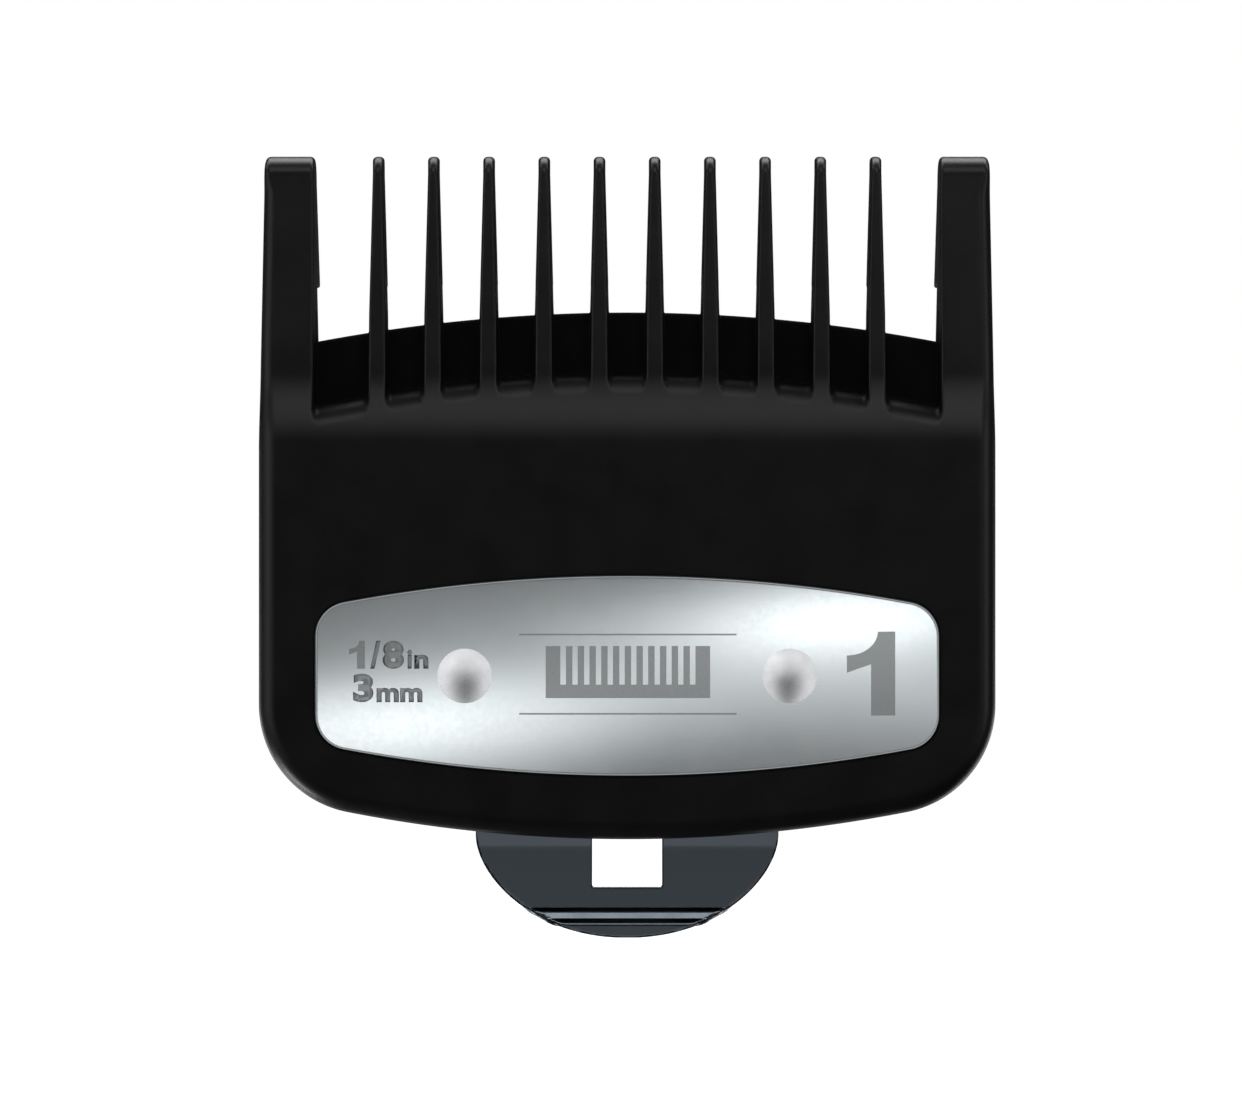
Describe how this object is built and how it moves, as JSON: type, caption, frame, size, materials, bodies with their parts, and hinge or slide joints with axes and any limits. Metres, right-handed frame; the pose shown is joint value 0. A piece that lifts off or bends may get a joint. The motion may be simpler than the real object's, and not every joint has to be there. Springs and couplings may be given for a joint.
{
  "type": "hair clipper guard comb",
  "caption": "Clip-on clipper guard comb for a 3 mm cut: black moulded comb body, riveted metal nameplate and a sprung steel clip whose hook holds the blade's heel.",
  "frame": {"origin": "middle of the blade seat: on the seat's plane, half way along and across the clipper's fixed blade", "axes": "+X to the right as the nameplate is read, +Y out of the seat towards the clipper, +Z along the teeth to their tips; the nameplate faces -Y"},
  "size_m": [0.0504, 0.0079, 0.0538],
  "materials": {
    "nylon": "fine satin grain",
    "plate_metal": "satin",
    "rivet_metal": "satin",
    "spring_steel": "dark gloss"
  },
  "bodies": {
    "comb": {"comb_body": "nylon", "nameplate": "plate_metal", "rivet_left": "rivet_metal", "rivet_right": "rivet_metal", "clip_base": "spring_steel"},
    "clip": {"clip_latch": "spring_steel"}
  },
  "joints": [
    {"name": "clip_release", "type": "hinge", "parent": "comb", "child": "clip", "pos_m": [0, -0.0012, -0.01735], "axis": [1, 0, 0], "range_deg": [-12, 0], "stiffness_Nm_per_rad": 0.003}
  ]
}
